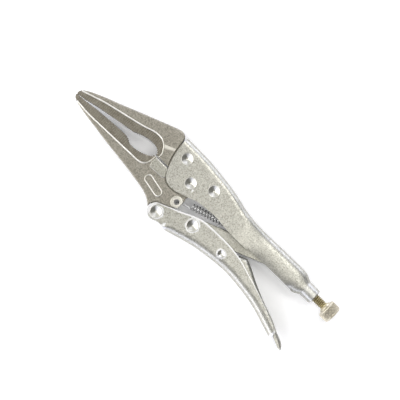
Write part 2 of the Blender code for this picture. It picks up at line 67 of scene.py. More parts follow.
JAW_AXIS = Vector(JOINTS["jaw_open"]["pos_m"])
ORIGIN = Vector((JAW_AXIS.x, SCREW_AXIS.y, SCREW_AXIS.z))


def place(x, y, z=0.0):
    """A design point in millimetres as a world point in metres."""
    return ORIGIN + Vector((x, y, z)) * MM


def design(point):
    """A world point in metres as design x, y, z in millimetres."""
    return (Vector(point) - ORIGIN) / MM


def node_span(name):
    """Lowest and highest corner of a CAD node, in design millimetres."""
    low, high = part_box(name)
    return design(low), design(high)


def node_centre(name):
    """Middle of a CAD node's box, in design millimetres."""
    low, high = node_span(name)
    return (low + high) / 2


# ---- sizes that come from the frame -------------------------------------------------------------------
HANDLE_HALF = node_span("upper_handle")[1].z
JAW_TIP, JAW_HALF = node_span("fixed_jaw")[0].x, node_span("fixed_jaw")[1].z
LINK_HALF = node_span("toggle_link")[1].z
LEVER_HALF = node_span("release_lever")[1].z
SHEET = 2.3
LEVER_SHEET = 1.6
TANG_GAP = 0.3
TANG_HALF = HANDLE_HALF - SHEET - TANG_GAP
RIVET_HOLE_GAP = 0.1
CUP_DEPTH, PIN_CUP_DEPTH = 1.95, 1.2
A = design(JAW_AXIS)
B = design(JOINTS["handle_swing"]["pos_m"])
D = design(JOINTS["link_swing"]["pos_m"])
LEVER_PIN = design(JOINTS["lever_squeeze"]["pos_m"])
C = node_centre("link_pivot_rivet")
FRONT_RIVET = node_centre("front_jaw_rivet")
REAR_RIVET = node_centre("rear_jaw_rivet")
RIVET_RADIUS = (node_span("jaw_pivot_rivet")[1].x - node_span("jaw_pivot_rivet")[0].x) / 2
PIN_RADIUS = (node_span("lever_pivot_rivet")[1].x - node_span("lever_pivot_rivet")[0].x) / 2
KNOB_LOW, KNOB_HIGH = node_span("adjusting_knob")
SCREW_TIP = node_span("adjusting_screw")[0].x
SCREW_RADIUS = node_span("adjusting_screw")[1].z


# ---- curves -----------------------------------------------------------------------------------------
def arc(centre, radius, start, end, step=8.0):
    """Points along a circle from one angle to another, in degrees."""
    count = max(1, round(abs(end - start) / step))
    angles = [math.radians(start + (end - start) * i / count) for i in range(count + 1)]
    return [(centre[0] + radius * math.cos(a), centre[1] + radius * math.sin(a)) for a in angles]


def smooth(points, spans=5):
    """A Catmull-Rom curve through the points."""
    ends = [points[0], *points, points[-1]]
    curve = []
    for a, b, c, d in zip(ends, ends[1:], ends[2:], ends[3:]):
        for i in range(spans):
            t = i / spans
            curve.append(tuple(
                0.5 * (2 * q + (r - p) * t + (2 * p - 5 * q + 4 * r - s) * t * t
                       + (3 * q - p - 3 * r + s) * t ** 3)
                for p, q, r, s in zip(a, b, c, d)))
    return [*curve, tuple(points[-1])]


def resample(points, fractions):
    """Points at the given fractions of a polyline's length."""
    points = np.array(points, float)
    steps = np.hypot(*np.diff(points, axis=0).T)
    along = np.concatenate([[0.0], np.cumsum(steps)]) / steps.sum()
    return np.stack([np.interp(fractions, along, points[:, k]) for k in range(points.shape[1])], axis=1)


def height_at(points, x):
    """y of a curve that is a function of x."""
    xs, ys = zip(*points)
    return np.interp(x, xs, ys)


def toothed(points, pitch, depth):
    """The same line with sharp teeth; depth is signed to the left of the line's direction."""
    points = np.array(points, float)
    length = np.hypot(*np.diff(points, axis=0).T).sum()
    count = 2 * max(2, round(length / pitch))
    line = resample(points, np.linspace(0.0, 1.0, count + 1))
    tangent = np.gradient(line, axis=0)
    tangent /= np.hypot(*tangent.T)[:, None]
    normal = np.stack([-tangent[:, 1], tangent[:, 0]], axis=1)
    shift = np.where(np.arange(count + 1) % 2 == 1, depth / 2, -depth / 2)
    shift[0] = shift[-1] = 0.0
    return [tuple(p) for p in line + normal * shift[:, None]]


# ---- mesh helpers -----------------------------------------------------------------------------------
def new_object(name, mesh):
    obj = bpy.data.objects.new(name, mesh)
    bpy.context.scene.collection.objects.link(obj)
    return obj


def mesh_from(name, work):
    """Write a bmesh in design millimetres to an object in the frame's metres."""
    bmesh.ops.recalc_face_normals(work, faces=work.faces)
    mesh = bpy.data.meshes.new(name)
    work.to_mesh(mesh)
    work.free()
    mesh.transform(Matrix.Translation(ORIGIN) @ Matrix.Scale(MM, 4))
    return new_object(name, mesh)


def evaluated_mesh(obj):
    bpy.context.view_layer.update()
    graph = bpy.context.evaluated_depsgraph_get()
    return bpy.data.meshes.new_from_object(obj.evaluated_get(graph))


def applied(obj):
    """Replace an object's mesh by its evaluated one and drop the modifiers."""
    mesh = evaluated_mesh(obj)
    obj.modifiers.clear()
    obj.data = mesh
    return obj


def cut(obj, cutter):
    """Take the cutter's shape out of an object and remove the cutter."""
    step = obj.modifiers.new("cut", "BOOLEAN")
    step.operation = "DIFFERENCE"
    step.solver = "EXACT"
    step.object = cutter
    applied(obj)
    bpy.data.objects.remove(cutter)
    return obj


def skin(work, rings):
    """Join each closed ring of vertices to the next; a ring of one vertex closes an end."""
    for ring, following in zip(rings, rings[1:]):
        for i in range(max(len(ring), len(following))):
            corners = (ring[i % len(ring)], ring[(i + 1) % len(ring)],
                       following[(i + 1) % len(following)], following[i % len(following)])
            work.faces.new(list(dict.fromkeys(corners)))


def ring_at(work, x, radii):
    """Vertices spread evenly round the screw's axis, one for each radius."""
    turns = [2 * math.pi * k / len(radii) for k in range(len(radii))]
    return [work.verts.new((x, r * math.cos(a), r * math.sin(a))) for r, a in zip(radii, turns)]


def shade(obj, angle=32.0):
    """Smooth shading with sharp edges where faces meet at more than the angle."""
    limit = math.radians(angle)
    work = bmesh.new()
    work.from_mesh(obj.data)
    for face in work.faces:
        face.smooth = True
    for edge in work.edges:
        edge.smooth = not (edge.is_manifold and edge.calc_face_angle(0.0) > limit)
    work.to_mesh(obj.data)
    work.free()
    weigh = obj.modifiers.new("normals", "WEIGHTED_NORMAL")
    weigh.keep_sharp = True
    weigh.weight = 60
    return obj


def paint(obj, look):
    obj.data.materials.clear()
    obj.data.materials.append(look)


def eased(points, radii):
    """Limit each rounding radius to what the outline's local curve leaves room for."""
    ahead = np.roll(points, -1, axis=0) - points
    length = np.hypot(*ahead.T)
    angle = np.arctan2(ahead[:, 1], ahead[:, 0])
    turn = (angle - np.roll(angle, 1) + math.pi) % (2 * math.pi) - math.pi
    lost = np.tan(np.clip(turn, -2.6, 2.6) / 2)
    room = length / np.maximum(lost + np.roll(lost, -1), 1e-3)
    limit = 0.8 * np.minimum(room, np.roll(room, 1))
    radii = np.minimum(radii, limit)
    for _ in range(2):
        for i in range(-1, len(radii) - 1):
            radii[i + 1] = min(radii[i + 1], radii[i] + 0.6 * length[i])
        for i in range(len(radii) - 2, -2, -1):
            radii[i] = min(radii[i], radii[i + 1] + 0.6 * length[i])
    return radii


RIM_STEPS = 4


def rounded_plate(name, outline, radius, half):
    """A flat outline with rounded rims on both faces. radius is one value or one for each point."""
    points = np.array(outline, float)
    keep = np.hypot(*(points - np.roll(points, 1, axis=0)).T) > 0.02
    radii = np.broadcast_to(np.array(radius, float), len(points))[keep]
    points = points[keep]
    turn = np.roll(points, -1, axis=0)
    if np.sum(points[:, 0] * turn[:, 1] - turn[:, 0] * points[:, 1]) < 0:
        points, radii = points[::-1], radii[::-1]
    radii = eased(points, radii)
    ahead = np.roll(points, -1, axis=0) - points
    ahead /= np.hypot(*ahead.T)[:, None]
    behind = np.roll(ahead, 1, axis=0)
    inward = np.stack([-(ahead + behind)[:, 1], (ahead + behind)[:, 0]], axis=1)
    inward /= np.maximum(np.hypot(*inward.T), 1e-6)[:, None]
    square = np.abs(inward[:, 0] * -ahead[:, 1] + inward[:, 1] * ahead[:, 0])
    inward /= np.maximum(square, 0.6)[:, None]
    quarter = [i / RIM_STEPS * math.pi / 2 for i in range(RIM_STEPS + 1)]
    levels = [(1 - math.sin(a), -half, 1 - math.cos(a)) for a in quarter]
    levels += [(1 - math.cos(a), half, math.sin(a) - 1) for a in quarter]
    work = bmesh.new()
    rings = []
    for inset, face, rise in levels:
        ring = points + inward * (inset * radii)[:, None]
        rings.append([work.verts.new((x, y, face + rise * r)) for (x, y), r in zip(ring, radii)])
    skin(work, rings)
    for ring in (rings[0], rings[-1]):
        edges = [work.edges.get((a, b)) for a, b in zip(ring, [*ring[1:], ring[0]])]
        bmesh.ops.triangle_fill(work, edges=edges, use_beauty=True, use_dissolve=False)
    return mesh_from(name, work)


def prism(name, outline, low, high):
    """A plain extruded outline, for cutters."""
    work = bmesh.new()
    base = [work.verts.new((x, y, low)) for x, y in outline]
    top = [work.verts.new((x, y, high)) for x, y in outline]
    work.faces.new(base[::-1])
    work.faces.new(top)
    skin(work, [base, top])
    return mesh_from(name, work)


def drum(name, centre, radius, low, high):
    """A plain cylinder about Z, for cutters."""
    step = 7.5
    return prism(name, arc(centre, radius, 0.0, 360.0 - step, step), low, high)


def tube(name, points, radius, closed=False):
    """A round bar along design points, as a mesh with filled ends."""
    curve = bpy.data.curves.new(name, "CURVE")
    curve.dimensions = "3D"
    curve.bevel_depth = radius * MM
    curve.bevel_resolution = 3
    curve.use_fill_caps = not closed
    line = curve.splines.new("POLY")
    line.points.add(len(points) - 1)
    for point, here in zip(line.points, points):
        point.co = (*place(*here), 1.0)
    line.use_cyclic_u = closed
    made = new_object(name, curve)
    mesh = evaluated_mesh(made)
    bpy.data.objects.remove(made)
    work = bmesh.new()
    work.from_mesh(mesh)
    bmesh.ops.remove_doubles(work, verts=work.verts, dist=1e-6)
    bmesh.ops.recalc_face_normals(work, faces=work.faces)
    work.to_mesh(mesh)
    work.free()
    return new_object(name, mesh)


def slice_and_taper(obj, stations, half_at, full):
    """Cut a flat plate across at each x station, then scale its z to the thickness wanted there."""
    work = bmesh.new()
    work.from_mesh(obj.data)
    for x in stations:
        everything = [*work.verts, *work.edges, *work.faces]
        bmesh.ops.bisect_plane(work, geom=everything, plane_co=place(x, 0.0), plane_no=(1, 0, 0),
                               dist=1e-7)
    for vertex in work.verts:
        here = design(vertex.co)
        vertex.co = place(here.x, here.y, here.z * half_at(here.x) / full)
    work.to_mesh(obj.data)
    work.free()
    return obj


def lathe(name, profile, centre, segments=64, along_x=False):
    """A closed (radius, height) profile turned about Z, or about X when along_x is set."""
    work = bmesh.new()
    rings = []
    for radius, height in profile:
        if radius < 1e-6:
            rings.append([work.verts.new((0.0, 0.0, height))])
            continue
        angles = [2 * math.pi * i / segments for i in range(segments)]
        rings.append([work.verts.new((radius * math.cos(a), radius * math.sin(a), height)) for a in angles])
    skin(work, rings)
    if along_x:
        bmesh.ops.rotate(work, verts=work.verts, matrix=Matrix.Rotation(math.pi / 2, 3, "Y"))
    bmesh.ops.translate(work, verts=work.verts, vec=centre)
    return mesh_from(name, work)


def coons(top, bottom, left, right):
    """A patch of points between four boundary curves; rows run from top to bottom."""
    count, rows = len(top), len(left)
    u = np.linspace(0.0, 1.0, count)[:, None, None]
    v = np.linspace(0.0, 1.0, rows)[None, :, None]
    top, bottom = top[:, None, :], bottom[:, None, :]
    left, right = left[None, :, :], right[None, :, :]
    corners = ((1 - u) * (1 - v) * top[0, 0] + u * (1 - v) * top[-1, 0]
               + (1 - u) * v * bottom[0, 0] + u * v * bottom[-1, 0])
    return (1 - v) * top + v * bottom + (1 - u) * left + u * right - corners


def sheet_shell(name, columns, thickness, missing=None, rim=0.45, holes=()):
    """A folded sheet piece from columns of half-section points, mirrored about the mid plane.

    missing(column, row) is true for cells that have no sheet.
    """
    work = bmesh.new()
    grid = [[work.verts.new(point) for point in column] for column in columns]
    for i, (column, following) in enumerate(zip(grid, grid[1:])):
        for j in range(len(column) - 1):
            if missing is None or not missing(i, j):
                work.faces.new((column[j], column[j + 1], following[j + 1], following[j]))
    loose = [vertex for vertex in work.verts if not vertex.link_faces]
    bmesh.ops.delete(work, geom=loose, context="VERTS")
    mirrored = bmesh.ops.duplicate(work, geom=[*work.verts, *work.edges, *work.faces])["geom"]
    for vertex in (item for item in mirrored if isinstance(item, bmesh.types.BMVert)):
        vertex.co.z = -vertex.co.z
    bmesh.ops.remove_doubles(work, verts=work.verts, dist=0.02)
    obj = mesh_from(name, work)
    outward(obj)
    shell = obj.modifiers.new("sheet", "SOLIDIFY")
    shell.thickness = thickness * MM
    shell.offset = -1.0
    shell.use_even_offset = True
    shell.thickness_clamp = 0.0
    applied(obj)
    for centre, radius in holes:
        cut(obj, drum("rivet_hole", centre, radius, -12.0, 12.0))
    rounded = obj.modifiers.new("rim", "BEVEL")
    rounded.limit_method = "ANGLE"
    rounded.angle_limit = math.radians(50.0)
    rounded.width = rim * MM
    rounded.segments = 3
    rounded.use_clamp_overlap = True
    return applied(obj)


def outward(obj):
    """Turn an open sheet's faces so that the side walls face away from the mid plane."""
    work = bmesh.new()
    work.from_mesh(obj.data)
    vote = sum(face.normal.z * (face.calc_center_median().z - ORIGIN.z) for face in work.faces)
    if vote < 0:
        bmesh.ops.reverse_faces(work, faces=work.faces)
    work.to_mesh(obj.data)
    work.free()


# ---- materials --------------------------------------------------------------------------------------
class Nodes:
    """Short names for the nodes that the materials share."""

    def __init__(self, name):
        self.material = bpy.data.materials.new(name)
        self.material.use_nodes = True
        self.tree = self.material.node_tree
        self.shader = self.tree.nodes["Principled BSDF"]
        self.where = self.add("ShaderNodeTexCoord").outputs["Object"]

    def add(self, kind, **settings):
        node = self.tree.nodes.new(kind)
        for key, value in settings.items():
            setattr(node, key, value)
        return node

    def link(self, source, target):
        self.tree.links.new(source, target)

    def noise(self, size, detail=4.0, roughness=0.55):
        """Noise whose features are about size millimetres."""
        mapping = self.add("ShaderNodeMapping")
        mapping.inputs["Scale"].default_value = [1.0 / (size * MM)] * 3
        self.link(self.where, mapping.inputs["Vector"])
        node = self.add("ShaderNodeTexNoise")
        node.inputs["Scale"].default_value = 1.0
        node.inputs["Detail"].default_value = detail
        node.inputs["Roughness"].default_value = roughness
        self.link(mapping.outputs["Vector"], node.inputs["Vector"])
        return node.outputs["Fac"]

    def stripes(self, pitch):
        """Soft bands across X, pitch millimetres apart."""
        node = self.add("ShaderNodeTexWave", bands_direction="X")
        node.inputs["Scale"].default_value = 2 * math.pi / (pitch * MM) / 20.0
        node.inputs["Distortion"].default_value = 1.5
        node.inputs["Detail"].default_value = 2.0
        node.inputs["Detail Scale"].default_value = 1.5
        self.link(self.where, node.inputs["Vector"])
        return node.outputs["Fac"]

    def ramp(self, source, stops):
        node = self.add("ShaderNodeValToRGB")
        for element, (position, colour) in zip(node.color_ramp.elements, (stops[0], stops[-1])):
            element.position, element.color = position, (*colour, 1.0)
        for position, colour in stops[1:-1]:
            node.color_ramp.elements.new(position).color = (*colour, 1.0)
        self.link(source, node.inputs["Fac"])
        return node.outputs["Color"]

    def spread(self, source, low, high, start=0.3, end=0.7):
        node = self.add("ShaderNodeMapRange")
        node.inputs["From Min"].default_value = start
        node.inputs["From Max"].default_value = end
        node.inputs["To Min"].default_value = low
        node.inputs["To Max"].default_value = high
        self.link(source, node.inputs["Value"])
        return node.outputs["Result"]

    def mix(self, amount, first, second, blend="MIX"):
        node = self.add("ShaderNodeMix", data_type="RGBA", blend_type=blend)
        self.link(amount, node.inputs["Factor"])
        self.link(first, node.inputs["A"])
        self.link(second, node.inputs["B"])
        return node.outputs["Result"]

    def bump(self, source, depth, under=None):
        """Bump of the given depth in millimetres."""
        node = self.add("ShaderNodeBump")
        node.inputs["Strength"].default_value = 1.0
        node.inputs["Distance"].default_value = depth * MM
        self.link(source, node.inputs["Height"])
        if under is not None:
            self.link(under, node.inputs["Normal"])
        return node.outputs["Normal"]


def scaled(colour, share):
    return tuple(c * share for c in colour)


def plated_steel(name, dark, light, edge, rough=(0.34, 0.46), grain=0.9, fleck=1.0, depth=0.02,
                 metallic=0.9, stripes=0.0):
    """Satin nickel over blasted steel: grain, soft mottling, painted shade in concave creases and brighter
    worn edges.

    grain is the size of the specks in millimetres and fleck is their strength; stripes adds grinding
    marks of that pitch along X.
    """
    made = Nodes(name)
    mottle = made.noise(6.0, 5.0, 0.6)
    speckle = made.noise(grain, 5.0, 0.7)
    tone = made.ramp(mottle, [(0.3, dark), (0.7, light)])
    speck = made.ramp(speckle, [(0.34, (0.38, 0.38, 0.36)), (0.5, (0.8, 0.8, 0.79)), (0.62, (1.0, 1.0, 1.0))])
    body = made.mix(made.spread(mottle, 0.85 * fleck, fleck), tone, speck, "MULTIPLY")
    if stripes:
        body = made.mix(made.spread(made.stripes(stripes), 0.0, 0.75, 0.3, 0.8), body,
                        made.ramp(mottle, [(0.2, scaled(dark, 0.4)), (0.8, dark)]))
    pointiness = made.add("ShaderNodeNewGeometry").outputs["Pointiness"]
    # painted shade: concave creases and hollows (low pointiness) are darkened to a quarter to a third of the
    # dark tone
    crease_shade = made.ramp(speckle, [(0.3, scaled(dark, 0.22)), (0.7, scaled(dark, 0.34))])
    body = made.mix(made.spread(pointiness, 0.0, 1.0, 0.40, 0.485), crease_shade, body)
    worn = made.spread(pointiness, 0.0, 1.0, 0.53, 0.62)
    bright = made.ramp(speckle, [(0.3, scaled(edge, 0.88)), (0.6, edge)])
    made.link(made.mix(worn, body, bright), made.shader.inputs["Base Color"])
    made.shader.inputs["Metallic"].default_value = metallic
    made.link(made.spread(made.noise(1.6, 4.0), rough[0], rough[1]), made.shader.inputs["Roughness"])
    coarse = made.bump(speckle, depth)
    made.link(made.bump(made.noise(0.35, 3.0, 0.6), depth * 0.35, coarse), made.shader.inputs["Normal"])
    return made.material


HANDLE = plated_steel("satin_nickel_sheet", (0.48, 0.47, 0.42), (0.54, 0.53, 0.475), (0.74, 0.74, 0.74))
FORGED = plated_steel("satin_nickel_forging", (0.30, 0.28, 0.235), (0.37, 0.35, 0.30), (0.62, 0.60, 0.53),
                      rough=(0.38, 0.5), grain=1.0, depth=0.03)
LINK = plated_steel("link_steel", (0.40, 0.39, 0.34), (0.48, 0.47, 0.41), (0.66, 0.65, 0.6))
GRIP = plated_steel("ground_grip_steel", (0.22, 0.20, 0.16), (0.28, 0.26, 0.215), (0.46, 0.43, 0.36),
                    rough=(0.42, 0.56), grain=0.9, depth=0.03, stripes=1.4)
# painted highlight: the beads, the ring round the spring hole and the plain oval get a lighter steel than the
# jaw they are forged on, for the light they catch
RIDGE_HIGHLIGHT = plated_steel("ridge_painted_highlight_steel", (0.62, 0.60, 0.53), (0.70, 0.68, 0.61), (0.84, 0.82, 0.76),
                    rough=(0.3, 0.42), fleck=0.5, depth=0.015)
RIVET = plated_steel("rivet_steel", (0.60, 0.59, 0.53), (0.68, 0.67, 0.61), (0.80, 0.79, 0.75),
                     rough=(0.28, 0.36), fleck=0.2, depth=0.004)
ZINC = plated_steel("yellow_zinc_thread", (0.30, 0.25, 0.13), (0.42, 0.36, 0.20), (0.80, 0.72, 0.48),
                    rough=(0.24, 0.36), grain=0.6, fleck=0.6, depth=0.01)
KNURL = plated_steel("knob_zinc", (0.58, 0.53, 0.42), (0.70, 0.65, 0.52), (1.0, 0.96, 0.84),
                     rough=(0.26, 0.4), grain=0.7, fleck=0.6, depth=0.01)
WIRE = plated_steel("spring_wire", (0.66, 0.66, 0.66), (0.76, 0.76, 0.76), (0.9, 0.9, 0.9),
                    rough=(0.34, 0.44), fleck=0.2, depth=0.004, metallic=0.95)


# ---- pieces -----------------------------------------------------------------------------------------
def jaw_half(x):
    """Half thickness of both jaws: thin at the tip, full at the shoulder."""
    return float(np.interp(x, [JAW_TIP, -60.0, -30.0], [2.6, (2.6 + JAW_HALF) / 2 + 0.2, JAW_HALF]))


TOOTH_PITCH = 1.35
TOOTH_DEPTH = 0.75
THREAD_PITCH = 1.27
BAND_DEPTH = 0.8
SPRING_HOLE = (1.9, -18.2)
FIXED_TIP = [(-96.4, -12.0), (-96.8, -11.5), (-96.7, -10.4), (-96.2, -9.3), (-95.6, -8.3)]
FIXED_TOP = [(-95.6, -8.3), (-94.6, -7.5), (-92.6, -6.2), (-88.4, -4.1), (-80.0, -0.6),
             (-70.0, 3.0), (-60.0, 6.9), (-50.0, 10.7), (-40.0, 14.4), (-32.5, 17.2), (-29.5, 18.1),
             (-27.3, 18.4), (-25.2, 17.8), (-23.5, 15.9), (-22.9, 13.5), (-22.6, 10.0), (-21.9, 5.7),
             (-20.9, 1.0), (-19.8, -2.4), (-18.9, -5.1)]
FIXED_LINE = [(-95.6, -8.3), (-94.6, -8.4), (-93.0, -7.9), (-90.0, -7.0), (-80.0, -3.9), (-70.0, -1.6),
              (-60.0, 0.5), (-50.0, 2.8), (-43.0, 4.9), (-38.9, 5.7), (-34.7, 5.4), (-31.0, 3.5),
              (-28.4, 0.1), (-27.4, -2.5), (-27.6, -5.1)]
FIXED_OVAL = [(-29.6, -5.1), (-30.2, -3.6), (-31.3, -2.4), (-32.8, -1.4), (-35.0, -0.8), (-40.0, -0.7),
              (-45.7, -2.0), (-52.0, -4.5)]
FIXED_NOSE = [(-52.0, -4.5), (-60.0, -5.7), (-70.0, -7.4), (-80.0, -9.1), (-88.0, -10.95), (-93.0, -11.8),
              (-96.4, -12.0)]
MOVING_TIP = [(-93.6, -15.85), (-95.0, -15.2), (-96.0, -14.4), (-96.6, -13.3), (-96.7, -12.6),
              (-96.3, -12.3)]
MOVING_BOTTOM = [(-93.6, -15.85), (-91.0, -16.8), (-86.0, -17.85), (-80.0, -18.9),
                 (-70.0, -20.4), (-60.0, -22.0), (-50.0, -23.3), (-40.0, -24.6), (-30.0, -26.2),
                 (-22.0, -27.6), (-17.4, -29.0), (-14.2, -30.5), (-12.1, -31.9), (-10.6, -33.4)]
MOVING_LINE = [(-93.6, -15.85), (-92.0, -15.8), (-89.5, -16.0), (-85.0, -16.45),
               (-80.0, -16.7), (-60.0, -16.5), (-44.0, -16.3), (-37.0, -16.2), (-34.0, -15.7),
               (-31.7, -14.2), (-30.2, -11.8), (-29.6, -8.6), (-29.3, -5.95)]
MOVING_OVAL = [(-30.3, -5.95), (-31.0, -7.3), (-33.0, -8.8), (-36.3, -10.4), (-40.0, -11.6),
               (-43.0, -12.1), (-46.5, -12.2), (-48.6, -11.9), (-50.6, -10.7), (-53.4, -9.7)]
MOVING_NOSE = [(-53.4, -9.7), (-60.0, -9.7), (-70.0, -10.2), (-80.0, -10.9), (-88.0, -11.85),
               (-93.0, -12.25), (-96.3, -12.3)]


def thin_at_tip(points, full):
    """Rounding radii that shrink toward the jaw's tip."""
    return [float(np.interp(x, [-95.0, -84.0], [0.35 * full, full])) for x, _ in points]


def forged(name, body, full):
    """Taper a plate like the jaw, shade it and give it its name."""
    slice_and_taper(body, np.arange(-94.0, -28.0, 4.0), jaw_half, full)
    shade(body, 30.0)
    body.name = name
    return body


def grip_band(name, line, oval, nose, tip, sign):
    """The ground, toothed band along a jaw's grip edge, a step below the jaw's face."""
    edge = [*toothed(smooth(oval, 6), TOOTH_PITCH, sign * TOOTH_DEPTH),
            *toothed(smooth(nose, 4), TOOTH_PITCH, sign * TOOTH_DEPTH * 0.6)[1:]]
    tucked = [(x, y + sign * 0.6) for x, y in smooth(line, 4)[2:]]
    round_tip = smooth(tip, 4)
    radii = [*[0.12] * (len(tucked) + len(edge)), *[0.7] * (len(round_tip) - 1)]
    plate = rounded_plate(name, [*tucked, *edge, *round_tip[1:]], radii, JAW_HALF - BAND_DEPTH)
    return forged(name, plate, JAW_HALF)


def bead_line(name, line):
    """The raised bead that borders the grip band, on both faces."""
    beads = []
    for side in (1.0, -1.0):
        points = [(x, y, side * (jaw_half(x) - 0.12)) for x, y in smooth(line, 4)[2:]]
        beads.append(shade(tube(name, points, 0.5), 60.0))
    return beads


def make_fixed_jaw():
    top, line = smooth(FIXED_TOP, 4), smooth(FIXED_LINE, 4)[::-1]
    radii = [*thin_at_tip(top, 1.1), *thin_at_tip(line[:-1], 0.5)]
    body = forged("fixed_jaw_body", rounded_plate("body", [*top, *line[:-1]], radii, JAW_HALF), JAW_HALF)
    relief = arc(A, 7.0, 28.0, 200.0)
    tang = [(-26.0, 12.2), (-10.0, 12.2), (6.0, 11.2), (16.8, 9.3), *arc(REAR_RIVET, 5.4, 60.0, -110.0),
            *relief, (-7.4, -5.15), (-26.0, -5.15)]
    band = grip_band("fixed_jaw_grip", FIXED_LINE, FIXED_OVAL, FIXED_NOSE, FIXED_TIP, 1.0)
    return (body, band, rounded_plate("fixed_jaw_tang", tang, 0.3, TANG_HALF),
            bead_line("fixed_jaw_bead", FIXED_LINE))


def make_moving_jaw():
    bottom, line = smooth(MOVING_BOTTOM, 4), smooth(MOVING_LINE, 4)[::-1]
    ear = arc(B, 6.9, 190.0, 128.0)
    under_handle = [(-3.6, -25.3), (0.0, -23.8), (5.3, -21.4)]
    under_wall = smooth([(5.3, -13.3), (1.5, -13.4), (-1.5, -13.7), (-5.5, -14.6), (-9.5, -14.6),
                         (-13.0, -13.6), (-15.7, -11.6), (-17.5, -9.0), (-18.8, -5.95)], 3)
    inner = [*ear, *under_handle, *under_wall]
    radii = [*thin_at_tip(bottom, 1.1), *[0.35] * len(inner), *thin_at_tip(line[:-1], 0.5)]
    body = rounded_plate("body", [*bottom, *inner, *line[:-1]], radii, JAW_HALF)
    tang = rounded_plate("moving_jaw_tang", [
        (-24.0, -5.95), (-6.2, -5.95), *arc(A, 6.5, 200.0, -35.0), (5.3, -10.0),
        *arc(B, 6.0, 20.0, -140.0), (-9.5, -32.0), (-12.0, -26.0), (-24.0, -20.0)], 0.3, TANG_HALF)
    x, y = SPRING_HOLE
    for target in (body, tang):
        cut(target, drum("spring_hole", SPRING_HOLE, 1.9, -10.0, 10.0))
        slot = [(x, y - 0.6), (14.0, y - 0.6), (14.0, y + 3.0), (x, y + 3.0)]
        cut(target, prism("spring_slot", slot, -1.1, 1.1))
    forged("moving_jaw_body", body, JAW_HALF)
    band = grip_band("moving_jaw_grip", MOVING_LINE, MOVING_OVAL, MOVING_NOSE, MOVING_TIP[::-1], -1.0)
    return body, band, tang, [*moving_jaw_marks(), *bead_line("moving_jaw_bead", MOVING_LINE)]


def moving_jaw_marks():
    """Raised details on both faces of the moving jaw: stop pad, ring round the hole, plain oval."""
    marks = []
    pad = [(-28.4, -6.3), (-17.9, -6.3), (-16.4, -9.6), (-14.9, -11.6), (-16.4, -13.2), (-21.0, -13.5),
           (-27.6, -13.8), (-28.8, -10.5)]
    marks.append(shade(rounded_plate("jaw_pad", pad, 0.6, JAW_HALF + 0.65)))
    boss = rounded_plate("hole_boss", [*arc(SPRING_HOLE, 4.3, 35.0, 325.0, 5.0)], 0.5, JAW_HALF + 0.5)
    cut(boss, drum("boss_hole", SPRING_HOLE, 1.95, -12.0, 12.0))
    x, y = SPRING_HOLE
    cut(boss, prism("boss_core", [(x - 9, y - 9), (x + 9, y - 9), (x + 9, y + 9), (x - 9, y + 9)],
                    0.3 - JAW_HALF, JAW_HALF - 0.3))
    marks.append(shade(boss, 40.0))
    for side in (1.0, -1.0):
        turn = math.radians(-12.0)
        oval = []
        for u, v in [*arc((5.4, 0.0), 2.6, -90.0, 90.0, 9.0), *arc((-5.4, 0.0), 2.6, 90.0, 270.0, 9.0)]:
            oval.append((-17.0 + u * math.cos(turn) - v * math.sin(turn),
                         -21.0 + u * math.sin(turn) + v * math.cos(turn), side * (JAW_HALF + 0.08)))
        marks.append(shade(tube("plain_oval", oval, 0.42, closed=True), 60.0))
    return marks


# the beads, the hole boss and the oval take the painted-highlight steel
DETAIL_LOOKS = {"fixed_jaw_bead": RIDGE_HIGHLIGHT, "moving_jaw_bead": RIDGE_HIGHLIGHT, "plain_oval": RIDGE_HIGHLIGHT, "hole_boss": RIDGE_HIGHLIGHT,
                "jaw_pad": LINK}


def finish_jaws():
    for maker, name, body_name in ((make_fixed_jaw, "fixed_jaw", "upper_body"),
                                   (make_moving_jaw, "moving_jaw", "jaw_body")):
        body, band, tang, marks = maker()
        shade(tang)
        for part in (body, tang, *marks):
            paint(part, DETAIL_LOOKS.get(part.name.split(".")[0], FORGED))
        paint(band, GRIP)
        for part in (body, band, tang, *marks):
            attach(part, body_name)
        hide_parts(name)


WALL_ROWS = 14
BEND_ROWS = 7
UPPER_COLUMNS = 120
LOWER_EAR_COLUMNS, LOWER_TROUGH_COLUMNS = 14, 96
LEVER_EAR_COLUMNS, LEVER_TROUGH_COLUMNS = 10, 70
SPINE_BEND = 4.6
UPPER_TOP = [(-22.3, 17.5), (-10.0, 17.3), (0.0, 16.8), (10.0, 15.7), (20.0, 14.4), (30.0, 12.4),
             (38.0, 10.3), (46.0, 9.0), (56.0, 8.25), (70.0, 8.3), (92.0, 8.3), (98.0, 7.9), (101.0, 6.6),
             (103.2, 5.7)]
UPPER_BOTTOM = [(-12.6, -12.9), (-9.3, -13.8), (-5.5, -13.8), (-1.7, -12.9), (5.5, -10.7), (10.2, -9.0),
                (15.0, -8.1), (20.2, -7.6), (27.0, -7.3), (34.0, -7.9), (42.0, -8.6), (56.6, -8.7)]
UPPER_REAR_BOTTOM = [(58.2, -7.4), (94.0, -7.4), (97.5, -8.1), (100.5, -7.3), (103.2, -5.7)]
UPPER_FRONT = [(-22.1, 13.0), (-21.9, 10.0), (-21.2, 5.7), (-20.2, 1.0), (-18.1, -5.2), (-16.7, -8.6),
               (-15.0, -11.0), (-12.6, -12.9)]


def stations(first, last, line, count):
    """Points at evenly spaced x from first to last, with the line's y there."""
    x = first + np.linspace(0.0, 1.0, count) * (last - first)
    return np.stack([x, height_at(line, x)], axis=1)


def bend_section(x, spine_y, rise, half, reach):
    """The bend from a side wall to the spine, then the spine to the mid plane.

    rise is the bend's height, signed toward the spine, and reach is its width.
    """
    section = []
    for k in range(1, BEND_ROWS + 1):
        angle = k / BEND_ROWS * math.pi / 2
        section.append((x, spine_y - rise * (1 - math.sin(angle)), half - reach * (1 - math.cos(angle))))
    return [*section, (x, spine_y, (half - reach) * 0.5), (x, spine_y, 0.0)]


